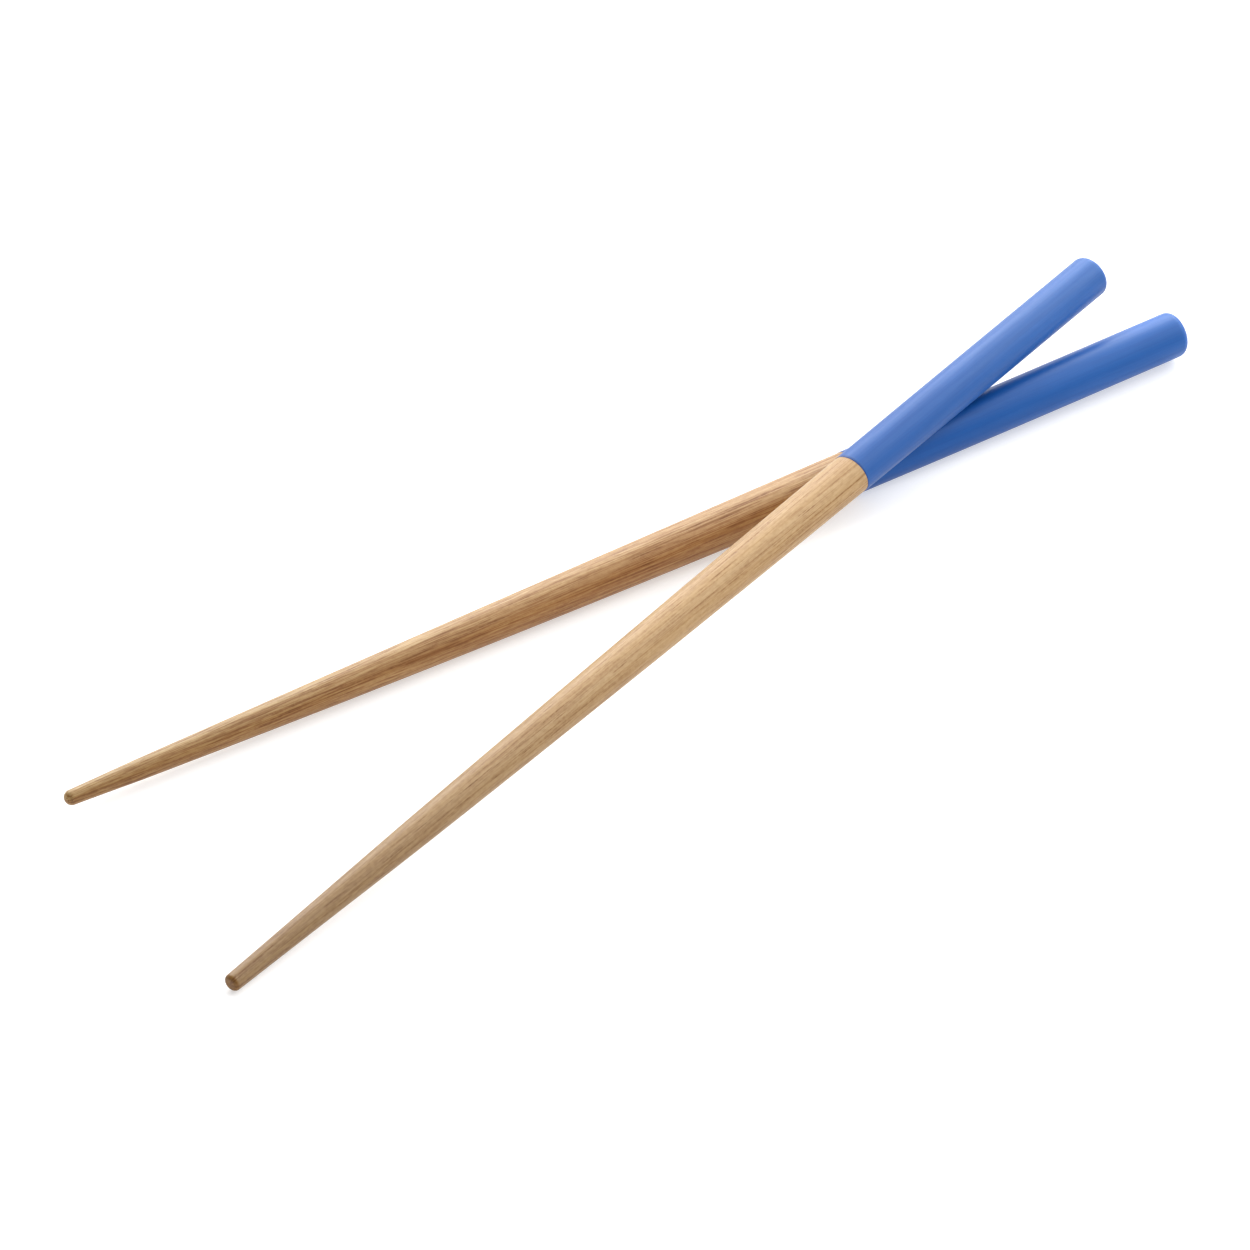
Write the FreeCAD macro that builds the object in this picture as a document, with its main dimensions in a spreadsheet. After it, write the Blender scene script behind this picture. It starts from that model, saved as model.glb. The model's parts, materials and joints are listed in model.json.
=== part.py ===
"""A pair of round bamboo chopsticks with lacquered grips, one lying across the other.

Units are millimetres and degrees. Each stick is drawn along its own X axis, tip face at 0 and butt at
stick_length, and then placed. The lower stick lies on the floor plane along +X. The upper stick stands on
the rim of its tip and rests on the lower one near the grips. The origin is on the floor, under the middle
of the pair's box.
"""
import FreeCAD, Part
import math
import os
import Sketcher

NORMAL = FreeCAD.Vector(0, 0, 1)
ORIGIN_POINT = (-1, 1)  # Sketcher's name for the sketch's own origin
X_AXIS = -1  # and for its X axis
START_POINT = 1
END_POINT = 2
QUARTER_TURN = math.pi / 2
MOST_LEFT_AFTER_HOLLOWING = 0.1
STICKS = ("lower", "upper")

DIMENSIONS = [
    # alias, value, what it is
    ("stick_length", 230.0, "bare bamboo, tip face to butt face"),
    ("straight_start", 198.0, "where the taper ends and the straight grip begins, from the tip"),
    ("coat_thickness", 0.05, "lacquer, built up from several dips"),
    ("lower_grip_radius", 4.1, "bare bamboo, along the straight part of the grip"),
    ("upper_grip_radius", 3.8, "bare bamboo, along the straight part of the grip"),
    ("lower_tip_radius", 1.45, "bare bamboo at the tip face, before its edge is rounded"),
    ("upper_tip_radius", 1.7, "bare bamboo at the tip face, before its edge is rounded"),
    ("lower_tip_round", 1.35, "edge radius round the tip face"),
    ("upper_tip_round", 0.8, "edge radius round the tip face"),
    ("lower_butt_round", 1.5, "edge radius round the bare butt face"),
    ("upper_butt_round", 1.1, "edge radius round the bare butt face"),
    ("lower_bare_length", 158.7, "tip face to the edge of the lacquer"),
    ("upper_bare_length", 161.4, "tip face to the edge of the lacquer"),
    ("crossing_on_lower", 179.2, "tip to the crossing seen from above, along the lower stick"),
    ("crossing_on_upper", 188.0, "tip to the crossing seen from above, along the upper stick"),
    ("crossing_angle", 16.65, "turn of the upper stick from the lower one, seen from above"),
    ("crossing_gap", 0.02, "free space left between the two coats where they touch"),
]


def make_sheet(doc):
    """Driving dimensions, and for each stick the taper's arc radius that follows from them."""
    sheet = doc.addObject("Spreadsheet::Sheet", "Dimensions")
    for row, (alias, value, meaning) in enumerate(DIMENSIONS, start=1):
        sheet.set(f"A{row}", alias)
        sheet.set(f"B{row}", str(value))
        sheet.set(f"C{row}", meaning)
        sheet.setAlias(f"B{row}", alias)
    for row, stick in enumerate(STICKS, start=len(DIMENSIONS) + 1):
        drop = f"({stick}_grip_radius - {stick}_tip_radius)"
        sheet.set(f"A{row}", f"{stick}_taper_radius")
        sheet.set(f"B{row}", f"=(straight_start^2 + {drop}^2) / (2 * {drop})")
        sheet.set(f"C{row}", "long arc from the tip's rim that runs tangent into the straight grip")
        sheet.setAlias(f"B{row}", f"{stick}_taper_radius")
    doc.recompute()
    return sheet


def size(sheet, stick, name):
    """A dimension that each stick has its own value of."""
    return getattr(sheet, f"{stick}_{name}")


def bare_radius(sheet, stick, distance):
    """Radius of the bare bamboo at a distance from the tip, ignoring the rounded rims."""
    behind = max(sheet.straight_start - distance, 0.0)
    arc = size(sheet, stick, "taper_radius")
    return size(sheet, stick, "grip_radius") - arc + math.sqrt(arc**2 - behind**2)


def tip_rim_height(sheet, stick):
    """Height above the axis of the centre of the tip rim, which is tangent inside the taper's arc."""
    rim = size(sheet, stick, "tip_round")
    arc = size(sheet, stick, "taper_radius")
    arc_centre = size(sheet, stick, "grip_radius") - arc
    return arc_centre + math.sqrt((arc - rim) ** 2 - (sheet.straight_start - rim) ** 2)


def draw_outline(body, name, sheet, stick, start, skin):
    """Half outline of a stick as a closed sketch on the body's XZ plane, along the sketch's X axis.

    start is the alias of the distance from the tip at which the outline begins with a square edge, or None
    for the tip with its rounded rim. skin is the alias of how far the outline stands outside the bare
    bamboo, or None for the bamboo itself.
    """
    first = getattr(sheet, start) if start else 0.0
    outside = getattr(sheet, skin) if skin else 0.0
    last = sheet.stick_length + outside
    top = size(sheet, stick, "grip_radius") + outside
    butt_rim = size(sheet, stick, "butt_round") + outside
    tip_round = size(sheet, stick, "tip_round")
    arc_radius = size(sheet, stick, "taper_radius") + outside
    arc_centre = top - arc_radius

    sketch = body.newObject("Sketcher::SketchObject", name)
    plane = next(item for item in body.Origin.OriginFeatures if item.Role == "XZ_Plane")
    sketch.AttachmentSupport = [(plane, "")]
    sketch.MapMode = "FlatFace"

    def line(x1, y1, x2, y2):
        ends = FreeCAD.Vector(x1, y1, 0), FreeCAD.Vector(x2, y2, 0)
        return sketch.addGeometry(Part.LineSegment(*ends))

    def arc(x, y, radius, from_angle, to_angle):
        circle = Part.Circle(FreeCAD.Vector(x, y, 0), NORMAL, radius)
        return sketch.addGeometry(Part.ArcOfCircle(circle, from_angle, to_angle))

    def constrain(kind, *where):
        return sketch.addConstraint(Sketcher.Constraint(kind, *where))

    def dimension(label, kind, *where, bound_to):
        sketch.renameConstraint(constrain(kind, *where), label)
        sketch.setExpression(f"Constraints.{label}", bound_to)

    def follow(edge, next_edge, kind):
        constrain(kind, edge, END_POINT, next_edge, START_POINT)

    if start:
        arc_turn = math.asin((sheet.straight_start - first) / arc_radius)
        front_height = arc_centre + arc_radius * math.cos(arc_turn)
    else:
        front_height = tip_rim_height(sheet, stick)
        arc_turn = math.atan2(sheet.straight_start - tip_round, front_height - arc_centre)

    axis = line(first, 0, last, 0)
    butt = line(last, 0, last, top - butt_rim)
    rim = arc(last - butt_rim, top - butt_rim, butt_rim, 0, QUARTER_TURN)
    grip = line(last - butt_rim, top, sheet.straight_start, top)
    taper = arc(sheet.straight_start, arc_centre, arc_radius, QUARTER_TURN, QUARTER_TURN + arc_turn)
    front = line(first, front_height, first, 0)

    follow(axis, butt, "Coincident")
    follow(butt, rim, "Tangent")
    follow(rim, grip, "Tangent")
    follow(grip, taper, "Tangent")
    follow(front, axis, "Coincident")
    constrain("Horizontal", axis)
    constrain("Vertical", butt)
    constrain("Vertical", front)
    own = f"Dimensions.{stick}"
    added = f" + Dimensions.{skin}" if skin else ""
    dimension("length", "DistanceX", *ORIGIN_POINT, butt, START_POINT, last,
              bound_to=f"Dimensions.stick_length{added}")
    dimension("straight", "DistanceX", *ORIGIN_POINT, taper, START_POINT, sheet.straight_start,
              bound_to="Dimensions.straight_start")
    dimension("radius", "DistanceY", *ORIGIN_POINT, taper, START_POINT, top,
              bound_to=f"{own}_grip_radius{added}")
    dimension("butt_rim", "Radius", rim, butt_rim, bound_to=f"{own}_butt_round{added}")
    dimension("taper", "Radius", taper, arc_radius, bound_to=f"{own}_taper_radius{added}")
    if start:
        follow(taper, front, "Coincident")
        constrain("PointOnObject", axis, START_POINT, X_AXIS)
        dimension("front", "DistanceX", *ORIGIN_POINT, axis, START_POINT, first,
                  bound_to=f"Dimensions.{start}")
    else:
        tip_rim = arc(tip_round, front_height, tip_round, QUARTER_TURN + arc_turn, math.pi)
        follow(taper, tip_rim, "Tangent")
        follow(tip_rim, front, "Tangent")
        constrain("Coincident", axis, START_POINT, *ORIGIN_POINT)
        dimension("tip_rim", "Radius", tip_rim, tip_round, bound_to=f"{own}_tip_round")
    body.Document.recompute()
    return sketch


def turn_outline(body, kind, name, sketch):
    """Full turn of an outline about the stick's own axis, as added or removed material."""
    feature = body.newObject(kind, name)
    feature.Profile = sketch
    feature.ReferenceAxis = (sketch, ["H_Axis"])
    feature.Angle = 360
    body.Document.recompute()


def make_shaft(doc, sheet, stick):
    """Turned bamboo: a rounded tip rim, one long arc, a straight grip and a rounded butt rim."""
    label = f"{stick}_shaft"
    body = doc.addObject("PartDesign::Body", label)
    outline = draw_outline(body, f"{label}_outline", sheet, stick, None, None)
    turn_outline(body, "PartDesign::Revolution", f"{label}_turned", outline)
    return body


def make_coat(doc, sheet, stick):
    """Lacquer: a thin cup over the grip and the butt, face to face with the bamboo inside it."""
    label = f"{stick}_grip_coat"
    body = doc.addObject("PartDesign::Body", label)
    skin = draw_outline(body, f"{label}_skin", sheet, stick, f"{stick}_bare_length", "coat_thickness")
    turn_outline(body, "PartDesign::Revolution", f"{label}_dipped", skin)
    solid_volume = body.Shape.Volume
    bamboo = draw_outline(body, f"{label}_bamboo", sheet, stick, None, None)
    turn_outline(body, "PartDesign::Groove", f"{label}_hollow", bamboo)
    if body.Shape.Volume > MOST_LEFT_AFTER_HOLLOWING * solid_volume:
        raise RuntimeError(f"{label} was not hollowed")
    return body


def lower_stick_pose(sheet):
    """Direction and tip point of the lower stick, its tip over the origin.

    It lies on two rings: the front edge of its lacquer, and the ring of bare bamboo nearer the tip where
    the floor line from that edge touches the taper's arc.
    """
    edge_radius = bare_radius(sheet, "lower", sheet.lower_bare_length) + sheet.coat_thickness
    behind = sheet.straight_start - sheet.lower_bare_length
    above = edge_radius - (sheet.lower_grip_radius - sheet.lower_taper_radius)
    climb = math.atan2(behind, above) + math.acos(sheet.lower_taper_radius / math.hypot(behind, above))
    direction = FreeCAD.Vector(math.cos(climb), 0, math.sin(climb))
    height = edge_radius * math.cos(climb) - sheet.lower_bare_length * math.sin(climb)
    return direction, FreeCAD.Vector(0, 0, height)


def upper_stick_pose(sheet, lower_direction, lower_tip):
    """Direction and tip point of the upper stick, its tip rim on the floor and its grip on the lower stick.

    Its climb is halved in on: too flat and the grips overlap, too steep and they part.
    """
    turn = math.radians(sheet.crossing_angle)
    rim = sheet.upper_tip_round
    rim_centre = tip_rim_height(sheet, "upper")
    crossing = lower_tip + lower_direction * sheet.crossing_on_lower
    wanted = sheet.crossing_gap + 2 * sheet.coat_thickness
    flat = 0.0
    steep = math.radians(10)
    for _ in range(50):
        climb = (flat + steep) / 2
        direction = FreeCAD.Vector(
            math.cos(climb) * math.cos(turn), math.cos(climb) * math.sin(turn), math.sin(climb)
        )
        tip = crossing - direction * sheet.crossing_on_upper
        tip.z = rim + rim_centre * math.cos(climb) - rim * math.sin(climb)
        between = tip - lower_tip
        across = lower_direction.cross(direction).normalize()
        lean = lower_direction.dot(direction)
        on_lower = (lower_direction.dot(between) - lean * direction.dot(between)) / (1 - lean**2)
        on_upper = (lean * lower_direction.dot(between) - direction.dot(between)) / (1 - lean**2)
        radii = bare_radius(sheet, "lower", on_lower) + bare_radius(sheet, "upper", on_upper)
        if across.dot(between) - radii < wanted:
            flat = climb
        else:
            steep = climb
    return direction, tip


def placement_along(direction, tip):
    """Placement that lays a stick's X axis along a direction, with its tip face centred on a point."""
    turn = math.degrees(math.atan2(direction.y, direction.x))
    climb = math.degrees(math.asin(direction.z))
    return FreeCAD.Placement(tip, FreeCAD.Rotation(turn, -climb, 0))


def centre_on_floor(bodies):
    """Shift all bodies so that the origin is on the floor under the middle of their common box."""
    box = FreeCAD.BoundBox()
    for body in bodies:
        box.add(body.Shape.optimalBoundingBox(False, False))
    shift = FreeCAD.Vector(-box.Center.x, -box.Center.y, 0)
    for body in bodies:
        body.Placement.Base = body.Placement.Base + shift


def check_document(doc, bodies):
    """Stop on a failed object, or on a sub-part that is empty, invalid or not one solid."""
    for item in doc.Objects:
        if "Invalid" in item.State or "Error" in item.State:
            raise RuntimeError(f"{item.Label} failed: {item.State}")
    for body in bodies:
        if body.Shape.isNull() or not body.Shape.isValid() or len(body.Shape.Solids) != 1:
            raise RuntimeError(f"{body.Label} is not one valid solid")


def print_facts(sheet, stick, bodies):
    """Print where a stick lies, its straight wall over the lacquer, its butt face and its volumes."""
    wall_end = sheet.stick_length - size(sheet, stick, "butt_round")
    placed = bodies[0].Placement
    along = placed.Rotation.multVec(FreeCAD.Vector(1, 0, 0))
    print(f"{stick} stick: along {along.x:.7f} {along.y:.7f} {along.z:.7f}")
    print(f"  taper radius {size(sheet, stick, 'taper_radius'):.2f}")
    print(f"  straight wall length {wall_end - sheet.straight_start:.3f}")
    for name, distance in (
        ("tip face", 0.0),
        ("middle of straight wall", (sheet.straight_start + wall_end) / 2),
        ("butt face", sheet.stick_length + sheet.coat_thickness),
    ):
        spot = placed.multVec(FreeCAD.Vector(distance, 0, 0))
        print(f"  {name} at {spot.x:.4f} {spot.y:.4f} {spot.z:.4f}")
    for body in bodies:
        box = body.Shape.optimalBoundingBox(False, False)
        print(f"  {body.Label}: volume {body.Shape.Volume:.2f}, z {box.ZMin:.4f} to {box.ZMax:.4f}")


def main():
    doc = FreeCAD.newDocument("chopsticks")
    sheet = make_sheet(doc)
    lower_direction, lower_tip = lower_stick_pose(sheet)
    upper_direction, upper_tip = upper_stick_pose(sheet, lower_direction, lower_tip)
    poses = {"lower": (lower_direction, lower_tip), "upper": (upper_direction, upper_tip)}
    pairs = {}
    for stick in STICKS:
        pairs[stick] = [make_shaft(doc, sheet, stick), make_coat(doc, sheet, stick)]
        for body in pairs[stick]:
            body.Placement = placement_along(*poses[stick])
    doc.recompute()
    bodies = pairs["lower"] + pairs["upper"]
    centre_on_floor(bodies)
    doc.recompute()
    check_document(doc, bodies)
    for stick in STICKS:
        print_facts(sheet, stick, pairs[stick])
    os.makedirs("parts", exist_ok=True)
    for body in bodies:
        body.Shape.exportStep(f"parts/{body.Label}.step")


main()
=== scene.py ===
"""Looks for a pair of bamboo chopsticks with blue lacquered grips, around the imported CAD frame.

Sizes named here are in millimetres and angles in degrees; Blender's own unit is the metre.
"""
import json
import math

import bpy
import numpy as np
from mathutils import Matrix, Vector, noise


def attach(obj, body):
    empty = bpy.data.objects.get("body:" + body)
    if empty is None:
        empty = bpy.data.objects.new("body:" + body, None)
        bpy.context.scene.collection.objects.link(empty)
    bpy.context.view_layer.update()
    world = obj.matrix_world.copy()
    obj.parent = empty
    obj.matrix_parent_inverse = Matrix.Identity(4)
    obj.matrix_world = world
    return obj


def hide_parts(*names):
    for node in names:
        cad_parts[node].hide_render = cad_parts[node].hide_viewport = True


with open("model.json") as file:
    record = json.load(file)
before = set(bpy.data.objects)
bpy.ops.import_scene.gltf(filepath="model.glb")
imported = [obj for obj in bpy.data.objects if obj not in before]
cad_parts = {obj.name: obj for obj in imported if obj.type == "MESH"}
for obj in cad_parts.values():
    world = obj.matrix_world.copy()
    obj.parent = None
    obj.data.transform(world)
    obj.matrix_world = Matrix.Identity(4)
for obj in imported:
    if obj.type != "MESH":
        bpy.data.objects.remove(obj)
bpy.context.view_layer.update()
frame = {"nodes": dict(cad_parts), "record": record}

MM = 0.001
MOUNTS = {mount["name"]: mount for mount in frame["record"]["mounts"]}

COAT = 0.05

# Mesh density.
SEGMENTS = 256
VISIBLE_STEP = 0.7
HIDDEN_STEP = 3.0
RIM_STEPS = 14
TIP_FACE_STEP = 0.12
BUTT_FACE_STEP = 0.4

# Vascular bundles that show as short dashes: lowest value and spread of each draw.
DASHES = 700
DASH_HALF_LENGTH = (2.0, 9.0)
DASH_HALF_WIDTH = (0.08, 0.10)
DASH_STRENGTH = (0.20, 0.80)
DASH_CHANCE = (0.35, 0.65)

# How far the fibres rise, and the dashes sink, in the bamboo and through the lacquer.
FIBRE_RISE = 0.006
DASH_DEPTH = 0.018
COAT_DASH_DEPTH = 0.004

# How the hand-dipped edge of the lacquer runs round the stick.
DIP_SLANT = 0.28
DIP_SIDE = 37
DIP_FADE = 12.0

# Specular levels; the lacquer is thicker and glossier towards the butt.
BAMBOO_GLOSS = 0.29
LIP_GLOSS = 0.26
BUTT_GLOSS = 0.36

# The camera.
AZIMUTH = -33.368
ELEVATION = 39.147
ROLL = 0.016
DISTANCE = 1521.41
LENS = 256.64
SENSOR = 36.0
AIM = (-13.07, 4.11, 6.0)

# The floor is a lit white table, which keeps the shadows faint. Its half side is in metres.
FLOOR_HALF = 3.0
FLOOR_WHITE = 0.62
FLOOR_GLOW = 0.5

# Soft boxes: name, turn from the camera's azimuth, height angle, width and height in metres, radiance.
WORLD_RADIANCE = 0.36
BOX_DISTANCE = 1.5
SOFT_BOXES = [
    ("back_low", 10, 20, 2.0, 0.7, 3.5),
    ("back_high", 10, 40, 1.6, 0.8, 5.7),
    ("back_right", -45, 35, 1.4, 1.0, 4.1),
    ("top_right", -60, 65, 1.4, 1.0, 1.7),
    ("right", -90, 30, 1.2, 1.2, 2.4),
]


class Stick:
    """One stick's place in the frame and its outline, measured from its tip along its own axis."""

    def __init__(self, name, tip_radius, tip_round, fining, fining_reach, bend, seed, dense_side):
        self.name = name
        self.tip_radius = tip_radius
        self.tip_round = tip_round
        self.fining = fining
        self.fining_reach = fining_reach
        self.bend = bend
        self.seed = seed
        self.dense_side = dense_side
        grip = MOUNTS[f"{name}_grip"]
        butt = Vector(MOUNTS[f"{name}_butt"]["pos_m"])
        self.radius = grip["dims"]["r_mm"] - COAT
        self.along = Vector(grip["axis"]).normalized()
        self.side = Vector((0, 0, 1)).cross(self.along).normalized()
        self.up = self.along.cross(self.side)
        shaft = self.distances(f"{name}_shaft", butt)
        self.tip = butt + self.along * shaft.min() * MM
        self.length = shaft.max() - shaft.min()
        self.bare_length = self.distances(f"{name}_grip_coat", self.tip).min()
        wall_middle = (Vector(grip["pos_m"]) - self.tip).dot(self.along) / MM
        self.straight_start = wall_middle - grip["dims"]["length_mm"] / 2
        self.wall_end = wall_middle + grip["dims"]["length_mm"] / 2
        self.butt_round = self.length - self.wall_end
        drop = self.radius - tip_radius
        self.taper_radius = (self.straight_start**2 + drop**2) / (2 * drop)

    def distances(self, node, start):
        """How far along this stick each vertex of a CAD node lies from a point, in millimetres."""
        points = np.array([vertex.co for vertex in frame["nodes"][node].data.vertices])
        return (points - np.array(start)) @ np.array(self.along) / MM

    def place(self, local):
        """Points given as along, side and up from the tip in millimetres, in the frame in metres.

        The stick bows sideways by a parabola that keeps its mean line.
        """
        half = self.length / 2
        bow = self.bend * (((local[:, 0] - half) / half) ** 2 - 1 / 3)
        axes = np.array([self.along, self.side, self.up])
        bowed = local + bow[:, None] * np.array([0, 1, 0])
        return np.array(self.tip) + (bowed @ axes) * MM

    def bare(self, distance):
        """Radius of the bare bamboo, rims left out."""
        behind = max(self.straight_start - distance, 0.0)
        return self.radius - self.taper_radius + math.sqrt(self.taper_radius**2 - behind**2)

    def fined(self, outline):
        """The outline with the little that sanding takes off the radius towards the tip."""
        shaped = []
        for distance, radius in outline:
            fade = max(0.0, 1 - (distance / self.fining_reach) ** 2) ** 2
            shaped.append((distance, radius * (1 - self.fining / self.tip_radius * fade)))
        return shaped

    def tip_rim(self):
        """Radius at which the tip's rounding is centred, and the taper's slope where it starts."""
        reach = self.straight_start - self.tip_round
        inner = self.taper_radius - self.tip_round
        centre = self.radius - self.taper_radius + math.sqrt(inner**2 - reach**2)
        return centre, math.degrees(math.asin(reach / inner))


def steps(first, last, step):
    """Evenly spaced values from first to last, both included, no further apart than a step."""
    count = max(1, math.ceil(abs(last - first) / step))
    return list(np.linspace(first, last, count + 1))


def rim(centre_distance, centre_radius, size, from_angle, to_angle):
    """Outline points round a rim, by angle from the stick's axis direction."""
    angles = np.radians(np.linspace(from_angle, to_angle, RIM_STEPS + 1))
    return [(centre_distance + size * math.cos(a), centre_radius + size * math.sin(a)) for a in angles]


def shaft_outline(stick):
    """Outline of the bare shaft from the middle of its tip face to the middle of its butt face."""
    size = stick.tip_round
    rim_radius, slope = stick.tip_rim()
    face = [(0.0, radius) for radius in steps(0.0, rim_radius, TIP_FACE_STEP)]
    edge = rim(size, rim_radius, size, 180, 90 + slope)
    taper_from = size * (1 - math.sin(math.radians(slope)))
    hidden_from = stick.bare_length + VISIBLE_STEP
    taper = [(d, stick.bare(d)) for d in steps(taper_from, hidden_from, VISIBLE_STEP)]
    hidden = [(d, stick.bare(d)) for d in steps(hidden_from, stick.wall_end, HIDDEN_STEP)]
    butt = rim(stick.wall_end, stick.radius - stick.butt_round, stick.butt_round, 90, 0)
    return stick.fined(face + edge[1:] + taper[1:] + hidden[1:] + butt[1:] + [(stick.length, 0.0)])


def coat_outline(stick):
    """Closed outline of the lacquer: inside from the butt to the lip, and back outside to the butt."""
    rim_radius = stick.radius - stick.butt_round
    inner_rim = rim(stick.wall_end, rim_radius, stick.butt_round, 0, 90)
    inner = [(d, stick.bare(d)) for d in steps(stick.wall_end, stick.bare_length, HIDDEN_STEP)]
    lip_start = stick.bare_length + COAT
    lip = rim(lip_start, stick.bare(lip_start), COAT, 180, 90)
    outer = [(d, stick.bare(d) + COAT) for d in steps(lip_start, stick.wall_end, VISIBLE_STEP)]
    outer_rim = rim(stick.wall_end, rim_radius, stick.butt_round + COAT, 90, 0)
    face = [(stick.length + COAT, radius) for radius in steps(rim_radius, 0.0, BUTT_FACE_STEP)]
    wall = inner_rim + inner[1:] + lip[1:] + outer[1:] + outer_rim[1:]
    return [(stick.length, 0.0)] + wall + face[1:]


def bundles(stick):
    """Vascular bundles that break the surface: distance, turn, half length, half width, strength.

    More of them show towards the stick's denser side.
    """
    draw = np.random.default_rng(stick.seed)
    found = []
    while len(found) < DASHES:
        middle, turn, length, width, strength, chance = draw.uniform(size=6)
        away = math.cos(2 * math.pi * turn - math.radians(stick.dense_side))
        if chance < DASH_CHANCE[0] + DASH_CHANCE[1] * (0.5 + 0.5 * away):
            found.append((
                middle * stick.length,
                2 * math.pi * turn,
                DASH_HALF_LENGTH[0] + DASH_HALF_LENGTH[1] * length**2,
                DASH_HALF_WIDTH[0] + DASH_HALF_WIDTH[1] * width,
                DASH_STRENGTH[0] + DASH_STRENGTH[1] * strength**2,
            ))
    return found


def bundle_mask(stick, local):
    """How much of a vascular bundle shows at each point, from 0 to 1."""
    turn = np.arctan2(local[:, 2], local[:, 1])
    height = np.hypot(local[:, 1], local[:, 2])
    mask = np.zeros(len(local))
    for middle, angle, half_length, half_width, strength in bundles(stick):
        near = np.abs(local[:, 0] - middle) < half_length
        along = (local[near, 0] - middle) / half_length
        swing = angle + 0.03 * np.sin(local[near, 0] / 17 + angle * 5)
        gap = np.abs((turn[near] - swing + math.pi) % (2 * math.pi) - math.pi) * height[near]
        across = np.clip((half_width - gap) / half_width * 1.6, 0, 1)
        fade = np.clip((1 - np.abs(along)) * 2.5, 0, 1)
        mask[near] = np.maximum(mask[near], across * fade * strength)
    return mask


def fibre_noise(stick, local, across_scale, along_scale):
    """Smooth noise drawn out along the stick, from about -1 to 1."""
    shift = stick.seed * 13.7
    return np.array([
        noise.noise(Vector((shift + d * along_scale, y * across_scale, z * across_scale)))
        for d, y, z in local
    ])


def turned_points(outline, turns):
    """Points turned from an outline's rings, and the outward direction at each of them."""
    rings = np.array(outline[1:-1])
    slope = np.gradient(rings, axis=0)
    normal = np.stack([-slope[:, 1], slope[:, 0]], axis=1)
    normal /= np.linalg.norm(normal, axis=1)[:, None]
    turn = np.tile(turns, len(rings))
    around = np.stack([np.zeros_like(turn), np.cos(turn), np.sin(turn)], axis=1)
    local = around * np.repeat(rings[:, 1], SEGMENTS)[:, None]
    local[:, 0] = np.repeat(rings[:, 0], SEGMENTS)
    outward = around * np.repeat(normal[:, 1], SEGMENTS)[:, None]
    outward[:, 0] = np.repeat(normal[:, 0], SEGMENTS)
    return local, outward


def turned_faces(ring_count):
    """Faces between neighbouring rings, and the fans that close both ends on the axis."""
    first_pole = ring_count * SEGMENTS
    last_pole = first_pole + 1
    column = np.arange(SEGMENTS)
    following = (column + 1) % SEGMENTS
    faces = []
    for ring in range(ring_count - 1):
        low = ring * SEGMENTS
        high = low + SEGMENTS
        quads = np.stack([low + column, low + following, high + following, high + column], axis=1)
        faces += quads.tolist()
    faces += [(first_pole, int(b), int(a)) for a, b in zip(column, following)]
    low = (ring_count - 1) * SEGMENTS
    faces += [(last_pole, low + int(a), low + int(b)) for a, b in zip(column, following)]
    return faces


def lathe(name, stick, outline, relief, slide=None):
    """Mesh turned from an outline whose two ends are on the axis, with relief along the normals.

    slide gives how far each point is also moved along the stick. The unmoved place of each point and
    its share of a bundle are kept as attributes for the material.
    """
    turns = np.linspace(0, 2 * math.pi, SEGMENTS, endpoint=False)
    local, outward = turned_points(outline, turns)
    raised, mask = relief(local)
    if slide:
        local[:, 0] += slide(local)
    shaped = local + outward * raised[:, None]
    ends = np.array([[outline[0][0], 0, 0], [outline[-1][0], 0, 0]], float)
    shaped = np.vstack([shaped, ends])
    local = np.vstack([local, ends])
    mask = np.concatenate([mask, [0, 0]])

    mesh = bpy.data.meshes.new(name)
    mesh.from_pydata(stick.place(shaped).tolist(), [], turned_faces(len(outline) - 2))
    mesh.shade_smooth()
    place = mesh.attributes.new("stick_mm", "FLOAT_VECTOR", "POINT")
    place.data.foreach_set("vector", local.astype(np.float32).ravel())
    shown = mesh.attributes.new("bundle", "FLOAT", "POINT")
    shown.data.foreach_set("value", mask.astype(np.float32))
    mesh.update()
    piece = bpy.data.objects.new(name, mesh)
    bpy.context.scene.collection.objects.link(piece)
    return piece


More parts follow.
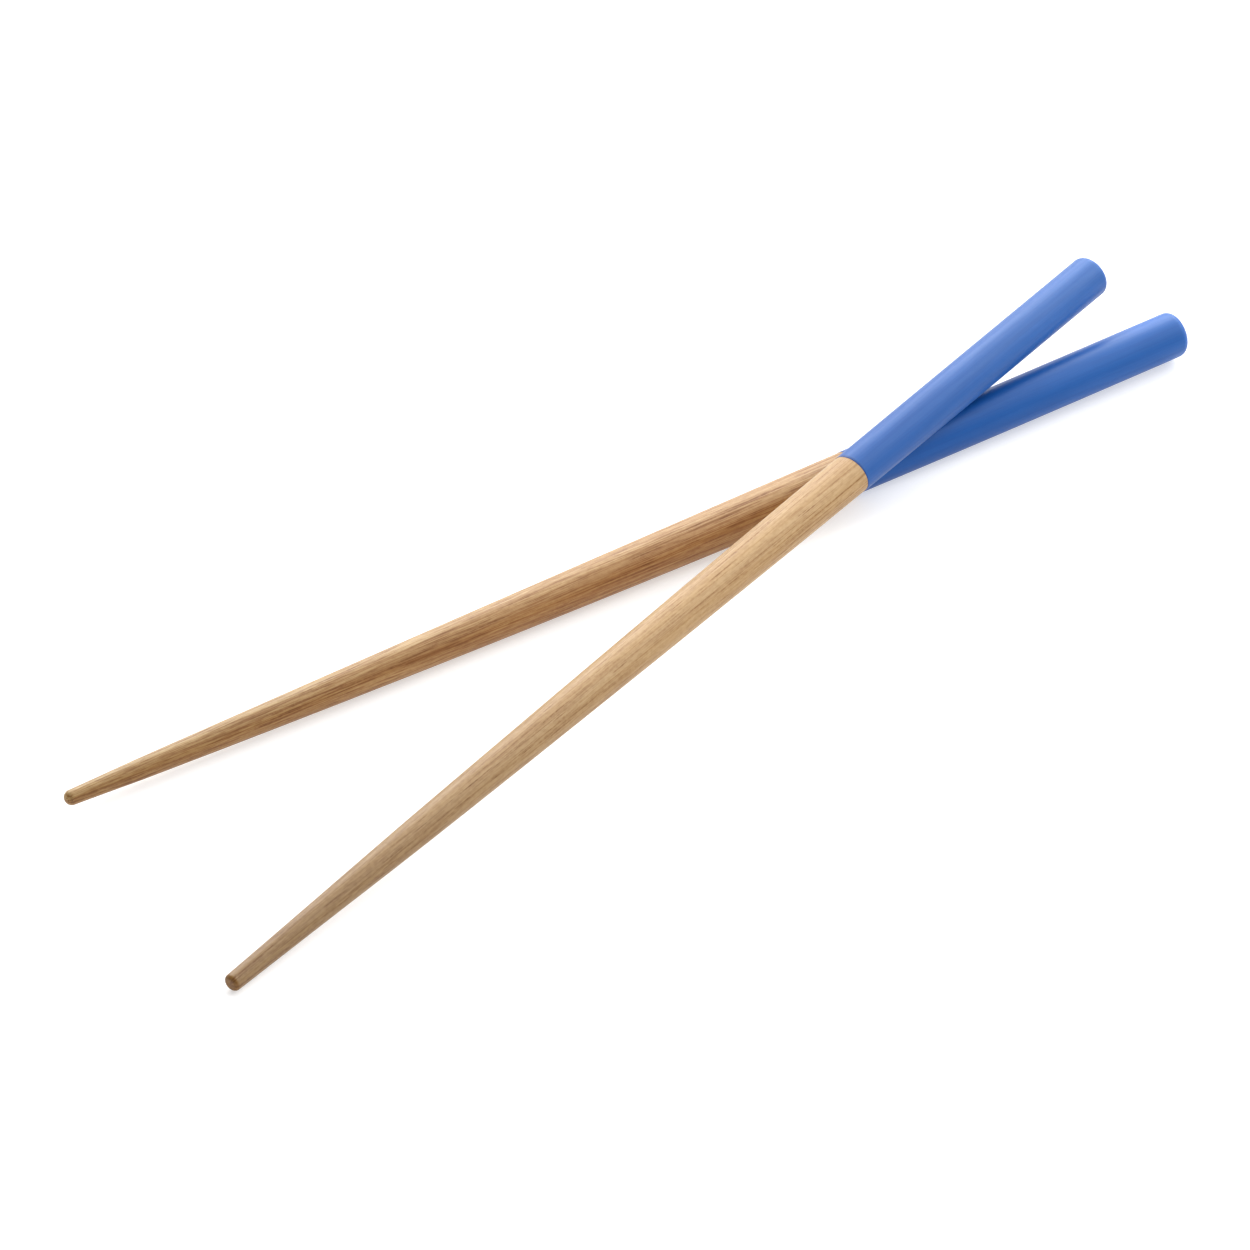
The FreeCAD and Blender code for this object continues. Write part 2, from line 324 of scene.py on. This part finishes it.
class Nodes:
    """A small helper that adds shader nodes and links them in one call."""

    def __init__(self, name):
        self.material = bpy.data.materials.new(name)
        self.material.use_nodes = True
        self.tree = self.material.node_tree
        self.surface = self.tree.nodes["Principled BSDF"]

    def add(self, kind, settings=None, **inputs):
        node = self.tree.nodes.new(kind)
        for key, value in (settings or {}).items():
            setattr(node, key, value)
        for key, value in inputs.items():
            self.feed(node.inputs[key.replace("_", " ")], value)
        return node

    def feed(self, socket, value):
        if isinstance(value, bpy.types.NodeSocket):
            self.tree.links.new(value, socket)
        else:
            socket.default_value = value

    def finish(self, **inputs):
        """Feed the surface shader's own inputs."""
        for key, value in inputs.items():
            self.feed(self.surface.inputs[key.replace("_", " ")], value)
        return self.material

    def math(self, operation, first, second=0.0):
        node = self.add("ShaderNodeMath", {"operation": operation})
        self.feed(node.inputs[0], first)
        self.feed(node.inputs[1], second)
        return node.outputs[0]

    def spread(self, value, low, high, to_low=0.0, to_high=1.0):
        """A smooth step from to_low at low to to_high at high."""
        limits = {"From_Min": low, "From_Max": high, "To_Min": to_low, "To_Max": to_high}
        node = self.add("ShaderNodeMapRange", {"interpolation_type": "SMOOTHSTEP"}, Value=value, **limits)
        return node.outputs["Result"]

    def mix(self, factor, first, second, blend="MIX"):
        node = self.add("ShaderNodeMix", {"data_type": "RGBA", "blend_type": blend})
        self.feed(node.inputs[0], factor)
        self.feed(node.inputs[6], first)
        self.feed(node.inputs[7], second)
        return node.outputs[2]

    def tint(self, tone, colour, amount):
        """The tone multiplied by a colour, by an amount from 0 to 1."""
        return self.mix(amount, tone, colour, "MULTIPLY")

    def attribute(self, name, output):
        return self.add("ShaderNodeAttribute", {"attribute_name": name}).outputs[output]

    def along(self):
        place = self.attribute("stick_mm", "Vector")
        return self.add("ShaderNodeSeparateXYZ", Vector=place).outputs["X"]

    def toward(self, angle):
        """Distance from the stick's axis towards an angle across it."""
        turn = math.radians(angle)
        node = self.add("ShaderNodeVectorMath", {"operation": "DOT_PRODUCT"})
        self.feed(node.inputs[0], self.attribute("stick_mm", "Vector"))
        self.feed(node.inputs[1], (0.0, math.cos(turn), math.sin(turn)))
        return node.outputs["Value"]

    def stretched(self, along, across, shift):
        """The stick's own coordinates, scaled differently along and across it."""
        place = self.attribute("stick_mm", "Vector")
        node = self.add("ShaderNodeMapping", Vector=place, Scale=(along, across, across))
        self.feed(node.inputs["Location"], (shift, shift, shift))
        return node.outputs["Vector"]

    def grain(self, along, across, detail, shift):
        """Soft noise with this many cells to the millimetre along and across the stick."""
        place = self.stretched(along, across, shift)
        node = self.add("ShaderNodeTexNoise", Vector=place, Scale=1.0, Detail=detail)
        return node.outputs["Fac"]

    def dashes(self, along, across, size, shift):
        """Slender spots of uneven strength, one in each cell of a grid drawn out along the stick."""
        place = self.stretched(along, across, shift)
        node = self.add("ShaderNodeTexVoronoi", {"feature": "F1"}, Vector=place, Scale=1.0)
        strength = self.add("ShaderNodeSeparateColor", Color=node.outputs["Color"]).outputs["Red"]
        spot = self.spread(node.outputs["Distance"], size, 0.35 * size)
        return self.math("MULTIPLY", spot, self.spread(strength, 0.25, 1.0))

    def bump(self, strength, height):
        """Normals roughened by a height of 0.02 mm for each unit."""
        node = self.add("ShaderNodeBump", Strength=strength, Distance=0.02 * MM, Height=height)
        return node.outputs["Normal"]


def rgb(red, green, blue):
    return (red, green, blue, 1.0)


def base_tone(nodes, stick, grip_tone, tip_tone, dense_tint):
    """The bamboo's plain colour, which changes along the stick and towards its denser side."""
    shift = stick.seed * 3.1
    tone = nodes.mix(nodes.spread(nodes.along(), 0.0, stick.bare_length * 0.8), tip_tone, grip_tone)
    wander = nodes.math("MULTIPLY", nodes.grain(0.03, 0.5, 2.0, shift + 1), 1.2)
    across = nodes.math("ADD", nodes.toward(stick.dense_side), wander)
    dense = nodes.spread(across, 0.6 - 0.35 * stick.radius, 0.6 + 0.45 * stick.radius)
    return nodes.tint(tone, dense_tint, dense)


def streaked(nodes, tone, shift, streak):
    """Broad clouds and long streaks, darker and paler than the wood."""
    cloud = nodes.grain(0.05, 0.45, 3.0, shift)
    tone = nodes.tint(tone, rgb(0.86, 0.79, 0.70), nodes.spread(cloud, 0.40, 0.66, 0.0, streak))
    dark = nodes.grain(0.022, 2.2, 3.0, shift + 3)
    tone = nodes.tint(tone, rgb(0.80, 0.70, 0.60), nodes.spread(dark, 0.48, 0.62, 0.0, streak))
    pale = nodes.grain(0.025, 2.8, 3.0, shift + 9)
    return nodes.tint(tone, rgb(1.10, 1.14, 1.18), nodes.spread(pale, 0.50, 0.62, 0.0, streak))


def vessels(nodes, shift):
    """Brown dashes where bundles break the surface, broken up by small pores."""
    short = nodes.dashes(0.12, 2.1, 0.30, shift)
    long = nodes.dashes(0.045, 1.4, 0.24, shift + 2)
    bundle = nodes.attribute("bundle", "Fac")
    vessel = nodes.math("MAXIMUM", bundle, nodes.math("MAXIMUM", short, long))
    dots = nodes.grain(1.6, 3.0, 2.0, shift + 7)
    return nodes.math("MULTIPLY", vessel, nodes.spread(dots, 0.35, 0.60, 0.5, 1.0))


def bamboo(name, stick, grip_tone, tip_tone, dense_tint, streak, fibre, end_grain_and_painted_light_tint, end_reach):
    """Oiled bamboo: fine fibres, soft streaks, brown bundle dashes, a denser side, and a tip-end tint:
    darker end grain, and painted light where it brightens the end.
    """
    nodes = Nodes(name)
    shift = stick.seed * 3.1
    tone = base_tone(nodes, stick, grip_tone, tip_tone, dense_tint)
    tone = streaked(nodes, tone, shift, streak)
    fine = nodes.grain(0.11, 6.5, 3.0, shift + 5)
    tone = nodes.tint(tone, rgb(0.76, 0.65, 0.54), nodes.spread(fine, 0.51, 0.58, 0.0, fibre))
    lines = nodes.grain(0.04, 3.6, 1.0, shift + 11)
    tone = nodes.tint(tone, rgb(0.72, 0.60, 0.48), nodes.spread(lines, 0.57, 0.62, 0.0, fibre))
    vessel = vessels(nodes, shift)
    tone = nodes.tint(tone, rgb(0.58, 0.42, 0.27), vessel)
    mottle = nodes.grain(0.9, 1.8, 3.0, shift + 8)
    tone = nodes.tint(tone, rgb(0.90, 0.87, 0.84), nodes.spread(mottle, 0.42, 0.62))
    # Tip's end: a tint below 1 is darker end grain; a tint above 1 is painted light that brightens the
    # end face.
    tone = nodes.tint(tone, end_grain_and_painted_light_tint, nodes.spread(nodes.along(), end_reach, 0.3 * end_reach))
    height = nodes.math("SUBTRACT", nodes.math("MULTIPLY", fine, 0.6), vessel)
    return nodes.finish(
        Base_Color=tone,
        Roughness=nodes.spread(fine, 0.3, 0.7, 0.38, 0.50),
        Specular_IOR_Level=BAMBOO_GLOSS,
        Normal=nodes.bump(0.4, height),
    )


def lacquer(name, stick, deep, bright):
    """Satin blue lacquer: the grain shows faintly through it, and a painted shade darkens it along its
    front lip.
    """
    nodes = Nodes(name)
    shift = stick.seed * 1.7
    grain = nodes.grain(0.05, 3.0, 3.0, shift)
    cloud = nodes.grain(0.04, 0.3, 2.0, shift + 4)
    tone = nodes.mix(nodes.spread(cloud, 0.35, 0.65), deep, bright)
    tone = nodes.tint(tone, rgb(0.90, 0.92, 0.95), nodes.spread(grain, 0.42, 0.66))
    distance = nodes.along()
    pale = nodes.spread(distance, stick.bare_length, stick.length)
    tone = nodes.tint(tone, rgb(1.20, 1.16, 1.12), pale)
    # Painted shade: a thin dark band along the front lip stands in for the shade at the coat's edge.
    lip = nodes.spread(distance, stick.bare_length + 0.35, stick.bare_length + 0.05, 0.0, 0.6)
    tone = nodes.tint(tone, rgb(0.45, 0.35, 0.45), lip)
    peel = nodes.grain(0.5, 0.8, 2.0, shift + 2)
    height = nodes.math("ADD", nodes.math("MULTIPLY", grain, 0.5), peel)
    return nodes.finish(
        Base_Color=tone,
        Roughness=nodes.spread(grain, 0.3, 0.7, 0.38, 0.46),
        Specular_IOR_Level=nodes.spread(distance, stick.bare_length, stick.length, LIP_GLOSS, BUTT_GLOSS),
        Specular_Tint=rgb(0.78, 0.88, 1.0),
        Normal=nodes.bump(0.2, height),
    )


def shaft_relief(stick):
    """Fibres and sunken bundles over the bare bamboo; what the lacquer hides stays smooth."""
    def relief(local):
        mask = bundle_mask(stick, local)
        visible = (local[:, 0] < stick.bare_length + 1) & (local[:, 0] > 0)
        wave = np.zeros(len(local))
        wave[visible] = fibre_noise(stick, local[visible], 3.2, 0.06)
        return (FIBRE_RISE * wave - DASH_DEPTH * mask) * visible, mask
    return relief


def coat_relief(stick):
    """Bundles that show through the outside of the lacquer."""
    def relief(local):
        mask = bundle_mask(stick, local)
        height = np.hypot(local[:, 1], local[:, 2])
        bare = np.array([stick.bare(d) for d in local[:, 0]])
        outside = (height > bare + 0.9 * COAT) & (local[:, 0] > stick.bare_length + 2 * COAT)
        return -COAT_DASH_DEPTH * mask * outside, mask
    return relief


def dip_line(stick):
    """The edge of the lacquer isn't quite square to the stick, because it was dipped by hand."""
    def slide(local):
        turn = np.arctan2(local[:, 2], local[:, 1])
        fade = np.clip(1 - (local[:, 0] - stick.bare_length) / DIP_FADE, 0, 1)
        return -DIP_SLANT * (0.4 + np.cos(turn - math.radians(DIP_SIDE))) * fade
    return slide


def make_shaft(stick, wood):
    shaft = lathe(f"{stick.name}_turned_bamboo", stick, shaft_outline(stick), shaft_relief(stick))
    shaft.data.materials.append(wood)
    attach(shaft, f"{stick.name}_stick")
    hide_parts(f"{stick.name}_shaft")


def make_coat(stick, paint):
    name = f"{stick.name}_lacquered_grip"
    coat = lathe(name, stick, coat_outline(stick), coat_relief(stick), dip_line(stick))
    coat.data.materials.append(paint)
    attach(coat, f"{stick.name}_stick")
    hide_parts(f"{stick.name}_grip_coat")


def view_axes():
    """Right, up and forward of the photograph's viewing angle."""
    azimuth = math.radians(AZIMUTH)
    elevation = math.radians(ELEVATION)
    forward = Vector((
        -math.sin(azimuth) * math.cos(elevation),
        math.cos(azimuth) * math.cos(elevation),
        -math.sin(elevation),
    ))
    right = forward.cross(Vector((0, 0, 1))).normalized()
    up = right.cross(forward)
    return right, up, forward


def make_camera():
    right, up, forward = view_axes()
    roll = math.radians(ROLL)
    tilted_right = math.cos(roll) * right + math.sin(roll) * up
    tilted_up = math.cos(roll) * up - math.sin(roll) * right
    data = bpy.data.cameras.new("camera")
    data.lens = LENS
    data.sensor_width = SENSOR
    camera = bpy.data.objects.new("camera", data)
    turn = Matrix((tilted_right, tilted_up, -forward)).transposed().to_4x4()
    camera.matrix_world = Matrix.Translation((Vector(AIM) - forward * DISTANCE) * MM) @ turn
    bpy.context.scene.collection.objects.link(camera)
    bpy.context.scene.camera = camera


def make_floor():
    corners = [
        (-FLOOR_HALF, -FLOOR_HALF, 0),
        (FLOOR_HALF, -FLOOR_HALF, 0),
        (FLOOR_HALF, FLOOR_HALF, 0),
        (-FLOOR_HALF, FLOOR_HALF, 0),
    ]
    mesh = bpy.data.meshes.new("floor")
    mesh.from_pydata(corners, [], [(0, 1, 2, 3)])
    floor = bpy.data.objects.new("floor", mesh)
    bpy.context.scene.collection.objects.link(floor)
    white = Nodes("floor_white").finish(
        Base_Color=rgb(FLOOR_WHITE, FLOOR_WHITE, FLOOR_WHITE),
        Emission_Color=rgb(1.0, 1.0, 1.0),
        Emission_Strength=FLOOR_GLOW,
        Roughness=0.9,
        Specular_IOR_Level=0.1,
    )
    mesh.materials.append(white)


def soft_box(name, azimuth, elevation, width, height, radiance):
    """Soft box aimed at the origin from a compass angle and a height angle."""
    data = bpy.data.lights.new(name, "AREA")
    data.shape = "RECTANGLE"
    data.size = width
    data.size_y = height
    data.energy = radiance * math.pi * width * height
    lamp = bpy.data.objects.new(name, data)
    turn = math.radians(azimuth)
    climb = math.radians(elevation)
    lamp.location = (
        -math.sin(turn) * math.cos(climb) * BOX_DISTANCE,
        math.cos(turn) * math.cos(climb) * BOX_DISTANCE,
        math.sin(climb) * BOX_DISTANCE,
    )
    lamp.rotation_euler = (-lamp.location).to_track_quat("-Z", "Y").to_euler()
    bpy.context.scene.collection.objects.link(lamp)


def make_light():
    world = bpy.data.worlds.new("studio")
    world.use_nodes = True
    background = world.node_tree.nodes["Background"]
    background.inputs["Color"].default_value = rgb(1.0, 1.0, 1.0)
    background.inputs["Strength"].default_value = WORLD_RADIANCE
    bpy.context.scene.world = world
    for name, turn, *rest in SOFT_BOXES:
        soft_box(name, AZIMUTH + turn, *rest)
    bpy.context.scene.view_settings.view_transform = "Standard"


lower = Stick(
    "lower",
    tip_radius=1.45,
    tip_round=1.35,
    fining=0.12,
    fining_reach=16.0,
    bend=0.67,
    seed=11,
    dense_side=205,
)
upper = Stick(
    "upper",
    tip_radius=1.7,
    tip_round=0.8,
    fining=0.15,
    fining_reach=50.0,
    bend=0.23,
    seed=23,
    dense_side=160,
)
make_camera()
lower_wood = bamboo(
    "lower_bamboo",
    lower,
    grip_tone=rgb(0.408, 0.262, 0.120),
    tip_tone=rgb(0.384, 0.272, 0.128),
    dense_tint=rgb(0.93, 0.77, 0.62),
    streak=0.8,
    fibre=0.95,
    # Painted light: the lower tip's end is brightened, standing in for light from the left on its face.
    end_grain_and_painted_light_tint=rgb(1.15, 1.12, 1.00),
    end_reach=0.8,
)
upper_wood = bamboo(
    "upper_bamboo",
    upper,
    grip_tone=rgb(0.436, 0.293, 0.142),
    tip_tone=rgb(0.260, 0.168, 0.078),
    dense_tint=rgb(0.97, 0.94, 0.90),
    streak=0.30,
    fibre=0.32,
    # End grain: the upper tip's end is tinted darker.
    end_grain_and_painted_light_tint=rgb(0.90, 0.70, 0.36),
    end_reach=0.9,
)
lower_paint = lacquer(
    "lower_lacquer",
    lower,
    deep=rgb(0.002, 0.062, 0.262),
    bright=rgb(0.004, 0.071, 0.288),
)
upper_paint = lacquer(
    "upper_lacquer",
    upper,
    deep=rgb(0.009, 0.067, 0.256),
    bright=rgb(0.011, 0.075, 0.280),
)
make_shaft(lower, lower_wood)
make_coat(lower, lower_paint)
make_shaft(upper, upper_wood)
make_coat(upper, upper_paint)
make_floor()
make_light()
